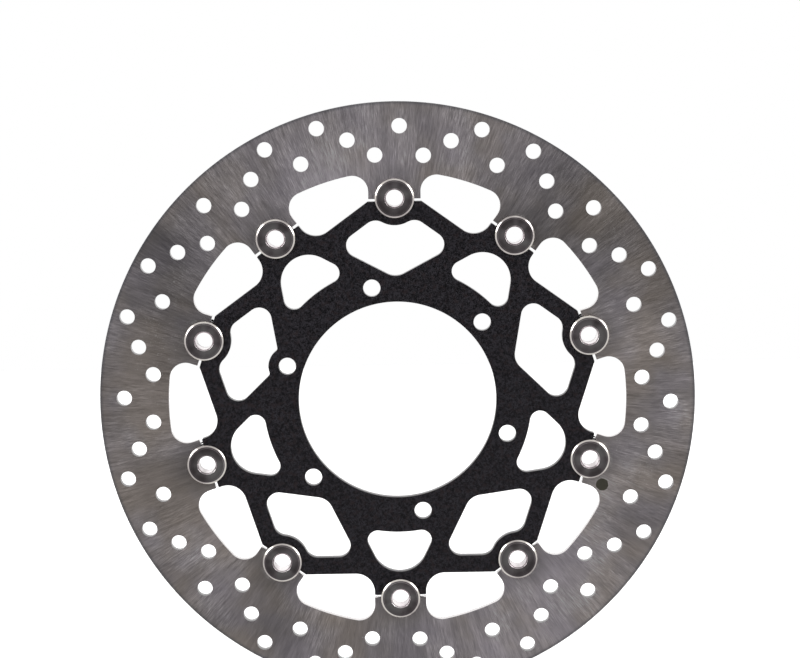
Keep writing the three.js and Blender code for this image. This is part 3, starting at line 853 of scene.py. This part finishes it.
def pale_floor():
    """Plain white paper."""
    f = Finish("pale_floor", Roughness=0.9, Specular_IOR_Level=0.1)
    fibre = f.noise(f.object_point(), 60.0)
    return f.shows(Base_Color=f.mixed(fibre, (0.93, 0.93, 0.93, 1), (0.95, 0.95, 0.95, 1)))


# ---- the pieces --------------------------------------------------------------------


def takes(piece, material, body, slot, *nodes):
    """Gives a piece its material, the body it moves with and the CAD nodes it stands for.
    The slot for its finish is not used."""
    piece.data.materials.append(material)
    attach(piece, body)
    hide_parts(*nodes)


def sleeve_profile():
    """Half section of a bobbin: flange back, shank and groove, bore, dished face, rolled rim."""
    section = [
        (FLANGE_R, FLANGE_BACK),
        (SHANK_R, FLANGE_BACK),
        (SHANK_R, GROOVE_FRONT),
        (GROOVE_R, GROOVE_FRONT),
        (GROOVE_R, GROOVE_BACK),
        (SHANK_R, GROOVE_BACK),
        (SHANK_R, SLEEVE_END),
        (BOBBIN_BORE_R, SLEEVE_END),
        (BOBBIN_BORE_R, FLANGE_FRONT + MOUTH_DEPTH),
        (BOBBIN_BORE_R + MOUTH_W, FLANGE_FRONT + DISH_INNER_DEPTH),
        (FLANGE_R - DISH_END, FLANGE_FRONT + DISH_OUTER_DEPTH),
        (FLANGE_R - CREST_START, FLANGE_FRONT),
        (FLANGE_R - CREST_END, FLANGE_FRONT),
        (FLANGE_R, FLANGE_FRONT + RIM_DROP),
    ]
    return softened(section, SLEEVE_EDGE_R)


def strip_profile(inner_r, outer_r, front, back):
    """The rectangular section of a flat ring."""
    return [(inner_r, front), (outer_r, front), (outer_r, back), (inner_r, back)]


def spring_wave(a):
    """The wave spring's rise along Y at the turn a: a cosine with so many waves a turn."""
    return SPRING_MID + SPRING_WAVE / 2 * np.cos(SPRING_WAVES * a)


def circlip_outline():
    """An open ring with its gap upwards and a rounded, holed ear at each end."""

    def at(radius, angle, corner_r=0.0):
        return [radius * math.sin(rad(angle)), radius * math.cos(rad(angle)), corner_r]

    ear = np.array(
        [
            at(CLIP_INNER_R, CLIP_GAP_ANGLE),
            at(CLIP_EAR_R, EAR_NEAR_ANGLE, EAR_NEAR_CORNER_R),
            at(CLIP_EAR_R, EAR_FAR_ANGLE, EAR_FAR_CORNER_R),
            at(CLIP_OUTER_R, EAR_FOOT_ANGLE),
        ]
    )
    back = arc(0, 0, CLIP_OUTER_R, EAR_FOOT_ANGLE, 360 - EAR_FOOT_ANGLE)
    inside = arc(0, 0, CLIP_INNER_R, 360 - CLIP_GAP_ANGLE, CLIP_GAP_ANGLE)
    outline = np.vstack([ear, sharp(back[1:-1]), mirrored(ear), sharp(inside[1:-1])])
    eye_circle_r = (CLIP_INNER_R + CLIP_EAR_R) / 2 + EYE_SHIFT
    eyes = [circle(*at(eye_circle_r, side * EYE_ANGLE)[:2], EYE_R) for side in (1, -1)]
    return [rounded_loop(outline), *eyes]


drilled = drilled_holes()
band_loops = [circle(0, 0, OUTER_R), band_inner_edge(), *drilled]
band_rims = [OUTER_RIM_R, INNER_RIM_R] + [DRILL_RIM_R] * len(drilled)
band = plate("band_plate", band_loops, band_rims, BAND_T, 0)
takes(band, ground_steel(), "brake_band", "band_steel", "brake_band")

carrier_loops = [carrier_edge(), *carrier_holes()]
carrier_rims = [CARRIER_RIM_R] * len(carrier_loops)
carrier = plate("carrier_plate", carrier_loops, carrier_rims, CARRIER_T, 0)
takes(carrier, black_anodised(), "carrier", "carrier_black", "carrier")

sleeve_finish, washer_finish = polished_sleeve(), plated_washer()
spring_finish, clip_finish = spring_strip(), phosphated_clip()
ring_inner_r = SHANK_R + LOOSE_FIT
washer_section = strip_profile(ring_inner_r, FLANGE_R, WASHER_FRONT, WASHER_BACK)
spring_section = strip_profile(ring_inner_r, SPRING_OUTER_R, -SPRING_T / 2, SPRING_T / 2)
washer_edge = softened(washer_section, WASHER_EDGE_R)
spring_edge = softened(spring_section, SPRING_EDGE_R, steps=2)
clip_loops = circlip_outline()
clip_rims = [CLIP_EDGE_R] * len(clip_loops)

for number in range(1, BOBBIN_COUNT + 1):
    tag, body = f"{number:02d}", f"bobbin_set_{number:02d}"
    seat = turned([[0, BOBBIN_CIRCLE_R]], (number - 1) * HALF_STEP)[0]
    sleeve = revolved(f"sleeve_{tag}", sleeve_profile(), seat, SLEEVE_SIDES)
    takes(sleeve, sleeve_finish, body, "bobbin_polished", f"bobbin_{tag}")
    washer = revolved(f"washer_{tag}", washer_edge, seat, WASHER_SIDES)
    takes(washer, washer_finish, body, "washer_steel", f"flat_washer_{tag}")
    wave = revolved(f"wave_ring_{tag}", spring_edge, seat, SPRING_SIDES, spring_wave)
    takes(wave, spring_finish, body, "spring_steel", f"wave_spring_{tag}")
    placed = [loop + seat for loop in clip_loops]
    clip = plate(f"clip_{tag}", placed, clip_rims, CIRCLIP_T, CIRCLIP_MID, steps=2)
    takes(clip, clip_finish, body, "clip_black", f"circlip_{tag}")

# ---- floor, light and camera -------------------------------------------------------


def flat_floor(low_z, size):
    """A square floor under the disc, which the bright steel does not mirror."""
    mesh = bpy.data.meshes.new("floor")
    corners = ((-size, -size), (size, -size), (size, size), (-size, size))
    mesh.from_pydata([(x, y, low_z) for x, y in corners], [], [(0, 1, 2, 3)])
    floor = bpy.data.objects.new("floor", mesh)
    bpy.context.scene.collection.objects.link(floor)
    floor.data.materials.append(pale_floor())
    floor.visible_glossy = False


def soft_box(name, place, aim, width, height, radiance):
    """An area light whose power is radiance times pi times its area."""
    light = bpy.data.lights.new(name, "AREA")
    light.shape = "RECTANGLE"
    light.size, light.size_y = width, height
    light.energy = radiance * math.pi * width * height
    lamp = bpy.data.objects.new(name, light)
    lamp.location = place
    lamp.rotation_euler = (Vector(aim) - Vector(place)).to_track_quat("-Z", "Y").to_euler()
    lamp.visible_camera = False
    bpy.context.scene.collection.objects.link(lamp)
    return lamp


def studio_world():
    """A pale room that varies along Y: dim straight ahead of the disc's front, where a camera
    would stand, and brighter all round. A camera sees it as a plain white backdrop."""
    world = bpy.data.worlds.new("studio")
    world.use_nodes = True
    bpy.context.scene.world = world
    tree = world.node_tree
    tree.nodes.clear()

    def add(kind):
        return tree.nodes.new("ShaderNode" + kind)

    way = add("TexCoord")
    split = add("SeparateXYZ")
    tree.links.new(way.outputs["Generated"], split.inputs[0])
    along = add("MapRange")
    along.inputs["From Min"].default_value = -1.0
    tree.links.new(split.outputs["Y"], along.inputs["Value"])
    level = add("ValToRGB")
    tree.links.new(along.outputs[0], level.inputs[0])
    ramp = level.color_ramp
    ramp.interpolation = "EASE"
    ends = ramp.elements[0], ramp.elements[1]
    for spot, (position, grey) in zip(ends, ((0.035, 0.09), (1.0, 1.0))):
        spot.position = position
        spot.color = (grey, grey, grey, 1)
    for position, grey in ((0.26, 0.62), (0.86, 0.66)):
        ramp.elements.new(position).color = (grey, grey, grey, 1)
    room = add("Background")
    room.inputs["Color"].default_value = (1, 0.99, 0.985, 1)
    tree.links.new(level.outputs[0], room.inputs["Strength"])
    backdrop = add("Background")
    backdrop.inputs["Color"].default_value = (1, 1, 1, 1)
    seen = add("LightPath")
    mix = add("MixShader")
    tree.links.new(seen.outputs["Is Camera Ray"], mix.inputs[0])
    tree.links.new(room.outputs[0], mix.inputs[1])
    tree.links.new(backdrop.outputs[0], mix.inputs[2])
    output = add("OutputWorld")
    tree.links.new(mix.outputs[0], output.inputs["Surface"])


def studio_camera(azimuth, elevation, roll, aim, distance, lens):
    """A camera at distance from aim; azimuth 0 looks along +Y, and roll turns it clockwise."""
    az, el, tilt = rad(azimuth), rad(elevation), rad(roll)
    ahead = Vector((-math.sin(az) * math.cos(el), math.cos(az) * math.cos(el), -math.sin(el)))
    level = Vector((math.cos(az), math.sin(az), 0))
    above = level.cross(ahead)
    right = level * math.cos(tilt) + above * math.sin(tilt)
    up = above * math.cos(tilt) - level * math.sin(tilt)
    data = bpy.data.cameras.new("camera")
    data.lens = lens
    data.sensor_width = 36.0
    camera = bpy.data.objects.new("camera", data)
    place = Matrix((right, up, -ahead)).transposed().to_4x4()
    place.translation = Vector(aim) - ahead * distance
    camera.matrix_world = place
    bpy.context.scene.collection.objects.link(camera)
    bpy.context.scene.camera = camera


flat_floor(low_z=cad_box[0].z, size=1.3)
studio_world()
for side, side_name in ((-1, "left"), (1, "right")):
    for end, end_name in ((-1, "front"), (1, "back")):
        place = (1.5 * side, 0.62 * end, 0.85)
        name = f"soft_box_{side_name}_{end_name}"
        soft_box(name, place, aim=(0, 0, 0), width=0.7, height=1.0, radiance=3.2)
overhead = soft_box("overhead", (0, 0.3, 2.2), (0, 0.3, 0), width=2.8, height=2.8, radiance=2.2)
overhead.visible_glossy = False

bpy.context.scene.view_settings.view_transform = "Standard"
bpy.context.scene.view_settings.look = "None"
studio_camera(
    azimuth=0.0705,
    elevation=6.671,
    roll=-0.884,
    aim=(0.00183, 0.0, 0.03689),
    distance=1.2596,
    lens=108.93,
)
